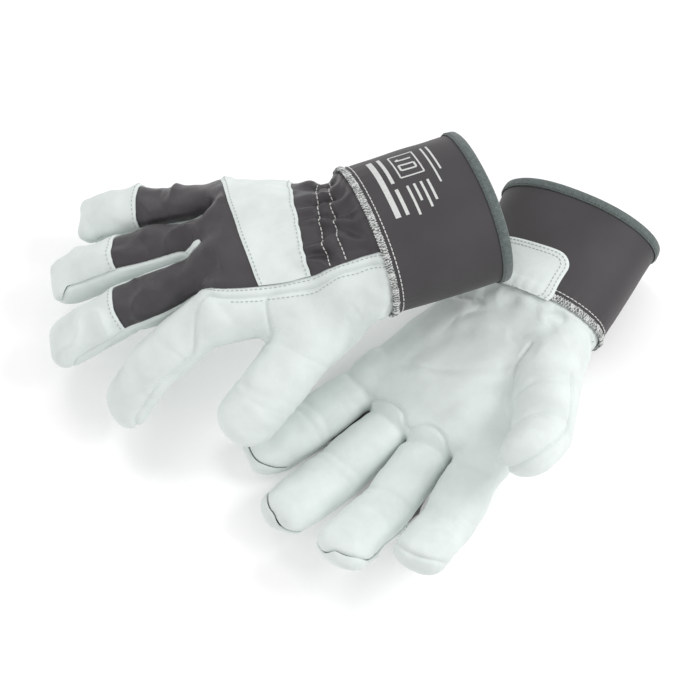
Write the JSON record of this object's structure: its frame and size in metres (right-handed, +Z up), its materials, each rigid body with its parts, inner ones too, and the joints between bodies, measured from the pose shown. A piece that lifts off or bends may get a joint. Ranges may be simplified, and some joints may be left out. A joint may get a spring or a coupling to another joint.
{
  "type": "work gloves",
  "caption": "Pair of leather and fabric work gloves with stiff safety cuffs, the right one lying across the left, fingers, thumbs and wrists jointed.",
  "frame": {"origin": "on the surface the pair lies on, under the middle of the pair's bounding box", "axes": "+Z up; -X is where the upper glove's fingers point; -Y is the side the lower glove's fingers and the upper glove's thumb point to"},
  "size_m": [0.3602, 0.2508, 0.1256],
  "materials": {
    "leather": "smooth pale grain leather, faintly green-grey",
    "drill_fabric": "matt dark grey cotton drill",
    "cuff_canvas": "dark grey rubberised canvas, low sheen",
    "lining": "undyed cotton fleece",
    "binding": "grey-green folded tape",
    "welt": "light grey overlocked edge with white stitches",
    "elastic": "white woven elastic"
  },
  "bodies": {
    "left_hand": {"left_palm_panel": "leather", "left_palm_lining": "lining", "left_wrist_fabric": "drill_fabric", "left_knuckle_strap": "leather", "left_knuckle_fabric": "drill_fabric", "left_wrist_elastic": "elastic", "left_thumb_root": "leather"},
    "left_cuff": {"left_cuff_shell": "cuff_canvas", "left_cuff_lining": "lining", "left_cuff_binding": "binding", "left_wrist_welt": "welt", "left_pulse_patch": "leather"},
    "left_index_base": {"left_index_finger_front": "leather", "left_index_finger_back": "leather"},
    "left_index_tip": {"left_index_tip_front": "leather", "left_index_tip_back": "leather"},
    "left_middle_base": {"left_middle_finger_front": "leather", "left_middle_finger_back": "drill_fabric"},
    "left_middle_tip": {"left_middle_tip_front": "leather", "left_middle_tip_cap": "leather"},
    "left_ring_base": {"left_ring_finger_front": "leather", "left_ring_finger_back": "drill_fabric"},
    "left_ring_tip": {"left_ring_tip_front": "leather", "left_ring_tip_cap": "leather"},
    "left_little_base": {"left_little_finger_front": "leather", "left_little_finger_back": "drill_fabric"},
    "left_little_tip": {"left_little_tip_front": "leather", "left_little_tip_cap": "leather"},
    "left_thumb_base": {"left_thumb_base": "leather"},
    "left_thumb_tip": {"left_thumb_tip": "leather"},
    "right_hand": {"right_palm_panel": "leather", "right_palm_lining": "lining", "right_wrist_fabric": "drill_fabric", "right_knuckle_strap": "leather", "right_knuckle_fabric": "drill_fabric", "right_wrist_elastic": "elastic", "right_thumb_root": "leather"},
    "right_cuff": {"right_cuff_shell": "cuff_canvas", "right_cuff_lining": "lining", "right_cuff_binding": "binding", "right_wrist_welt": "welt", "right_pulse_patch": "leather"},
    "right_index_base": {"right_index_finger_front": "leather", "right_index_finger_back": "leather"},
    "right_index_tip": {"right_index_tip_front": "leather", "right_index_tip_back": "leather"},
    "right_middle_base": {"right_middle_finger_front": "leather", "right_middle_finger_back": "drill_fabric"},
    "right_middle_tip": {"right_middle_tip_front": "leather", "right_middle_tip_cap": "leather"},
    "right_ring_base": {"right_ring_finger_front": "leather", "right_ring_finger_back": "drill_fabric"},
    "right_ring_tip": {"right_ring_tip_front": "leather", "right_ring_tip_cap": "leather"},
    "right_little_base": {"right_little_finger_front": "leather", "right_little_finger_back": "drill_fabric"},
    "right_little_tip": {"right_little_tip_front": "leather", "right_little_tip_cap": "leather"},
    "right_thumb_base": {"right_thumb_base": "leather"},
    "right_thumb_tip": {"right_thumb_tip": "leather"}
  },
  "joints": [
    {"name": "left_wrist", "type": "hinge", "parent": "left_hand", "child": "left_cuff", "pos_m": [0.10276, 0.04103, 0.0315], "axis": [-0.8741, 0.4652, -0.1398], "range_deg": [-10, 12], "stiffness_Nm_per_rad": 0.6},
    {"name": "left_index_knuckle", "type": "hinge", "parent": "left_hand", "child": "left_index_base", "pos_m": [0.06583, -0.05985, 0.03089], "axis": [-0.882, 0.4497, -0.1407], "range_deg": [-16, 56], "stiffness_Nm_per_rad": 0.2},
    {"name": "left_index_middle", "type": "hinge", "parent": "left_index_base", "child": "left_index_tip", "pos_m": [0.04915, -0.09159, 0.03405], "axis": [-0.882, 0.4497, -0.1407], "range_deg": [-35, 34], "stiffness_Nm_per_rad": 0.12},
    {"name": "left_middle_knuckle", "type": "hinge", "parent": "left_hand", "child": "left_middle_base", "pos_m": [0.0404, -0.04547, 0.02579], "axis": [-0.8012, 0.5838, -0.1311], "range_deg": [-12, 66], "stiffness_Nm_per_rad": 0.2},
    {"name": "left_middle_middle", "type": "hinge", "parent": "left_middle_base", "child": "left_middle_tip", "pos_m": [0.01627, -0.07861, 0.02569], "axis": [-0.8012, 0.5838, -0.1311], "range_deg": [-31, 54], "stiffness_Nm_per_rad": 0.12},
    {"name": "left_ring_knuckle", "type": "hinge", "parent": "left_hand", "child": "left_ring_base", "pos_m": [0.01862, -0.02781, 0.02219], "axis": [-0.6683, 0.7351, -0.114], "range_deg": [-9, 66], "stiffness_Nm_per_rad": 0.2},
    {"name": "left_ring_middle", "type": "hinge", "parent": "left_ring_base", "child": "left_ring_tip", "pos_m": [-0.01064, -0.0549, 0.01902], "axis": [-0.6683, 0.7351, -0.114], "range_deg": [-19, 54], "stiffness_Nm_per_rad": 0.12},
    {"name": "left_little_knuckle", "type": "hinge", "parent": "left_hand", "child": "left_little_base", "pos_m": [0.00265, -0.00491, 0.02139], "axis": [-0.5475, 0.8311, -0.0977], "range_deg": [-7, 9], "stiffness_Nm_per_rad": 0.2},
    {"name": "left_little_middle", "type": "hinge", "parent": "left_little_base", "child": "left_little_tip", "pos_m": [-0.02608, -0.02437, 0.01683], "axis": [-0.5475, 0.8311, -0.0977], "range_deg": [-13, 29], "stiffness_Nm_per_rad": 0.12},
    {"name": "left_thumb_knuckle", "type": "hinge", "parent": "left_hand", "child": "left_thumb_base", "pos_m": [0.1054, -0.03051, 0.05977], "axis": [-0.7409, -0.1855, -0.6455], "range_deg": [-14, 34], "stiffness_Nm_per_rad": 0.25},
    {"name": "left_thumb_middle", "type": "hinge", "parent": "left_thumb_base", "child": "left_thumb_tip", "pos_m": [0.10097, -0.05333, 0.07142], "axis": [-0.7409, -0.1855, -0.6455], "range_deg": [-27, 38], "stiffness_Nm_per_rad": 0.12},
    {"name": "right_glove_lift", "type": "slide", "parent": "left_hand", "child": "right_hand", "axis": [0, 0, 1], "range_m": [0, 0.15]},
    {"name": "right_wrist", "type": "hinge", "parent": "right_hand", "child": "right_cuff", "pos_m": [0.00576, 0.05603, 0.091], "axis": [0.3511, -0.9156, 0.1959], "range_deg": [-5, 15], "stiffness_Nm_per_rad": 0.6},
    {"name": "right_index_knuckle", "type": "hinge", "parent": "right_hand", "child": "right_index_base", "pos_m": [-0.09083, 0.01187, 0.07488], "axis": [0.3828, -0.9018, 0.2003], "range_deg": [-34, 38], "stiffness_Nm_per_rad": 0.2},
    {"name": "right_index_middle", "type": "hinge", "parent": "right_index_base", "child": "right_index_tip", "pos_m": [-0.11703, -0.00353, 0.05558], "axis": [0.3828, -0.9018, 0.2003], "range_deg": [-25, 50], "stiffness_Nm_per_rad": 0.12},
    {"name": "right_middle_knuckle", "type": "hinge", "parent": "right_hand", "child": "right_middle_base", "pos_m": [-0.09788, 0.04036, 0.07058], "axis": [0.1799, -0.969, 0.1694], "range_deg": [-20, 58], "stiffness_Nm_per_rad": 0.2},
    {"name": "right_middle_middle", "type": "hinge", "parent": "right_middle_base", "child": "right_middle_tip", "pos_m": [-0.13492, 0.03089, 0.05578], "axis": [0.1799, -0.969, 0.1694], "range_deg": [-17, 68], "stiffness_Nm_per_rad": 0.12},
    {"name": "right_ring_knuckle", "type": "hinge", "parent": "right_hand", "child": "right_ring_base", "pos_m": [-0.09982, 0.06824, 0.06635], "axis": [0.0439, -0.9884, 0.1451], "range_deg": [-17, 58], "stiffness_Nm_per_rad": 0.2},
    {"name": "right_ring_middle", "type": "hinge", "parent": "right_ring_base", "child": "right_ring_tip", "pos_m": [-0.13735, 0.06461, 0.05298], "axis": [0.0439, -0.9884, 0.1451], "range_deg": [-15, 64], "stiffness_Nm_per_rad": 0.12},
    {"name": "right_little_knuckle", "type": "hinge", "parent": "right_hand", "child": "right_little_base", "pos_m": [-0.09353, 0.09507, 0.06183], "axis": [-0.0913, -0.9888, 0.1184], "range_deg": [-13, 65], "stiffness_Nm_per_rad": 0.2},
    {"name": "right_little_middle", "type": "hinge", "parent": "right_little_base", "child": "right_little_tip", "pos_m": [-0.12701, 0.09696, 0.0518], "axis": [-0.0913, -0.9888, 0.1184], "range_deg": [-13, 72], "stiffness_Nm_per_rad": 0.12},
    {"name": "right_thumb_knuckle", "type": "hinge", "parent": "right_hand", "child": "right_thumb_base", "pos_m": [-0.03595, -0.00528, 0.06935], "axis": [0.7834, -0.5128, -0.3512], "range_deg": [-12, 36], "stiffness_Nm_per_rad": 0.25},
    {"name": "right_thumb_middle", "type": "hinge", "parent": "right_thumb_base", "child": "right_thumb_tip", "pos_m": [-0.05185, -0.02441, 0.0618], "axis": [0.7834, -0.5128, -0.3512], "range_deg": [-15, 50], "stiffness_Nm_per_rad": 0.12}
  ]
}
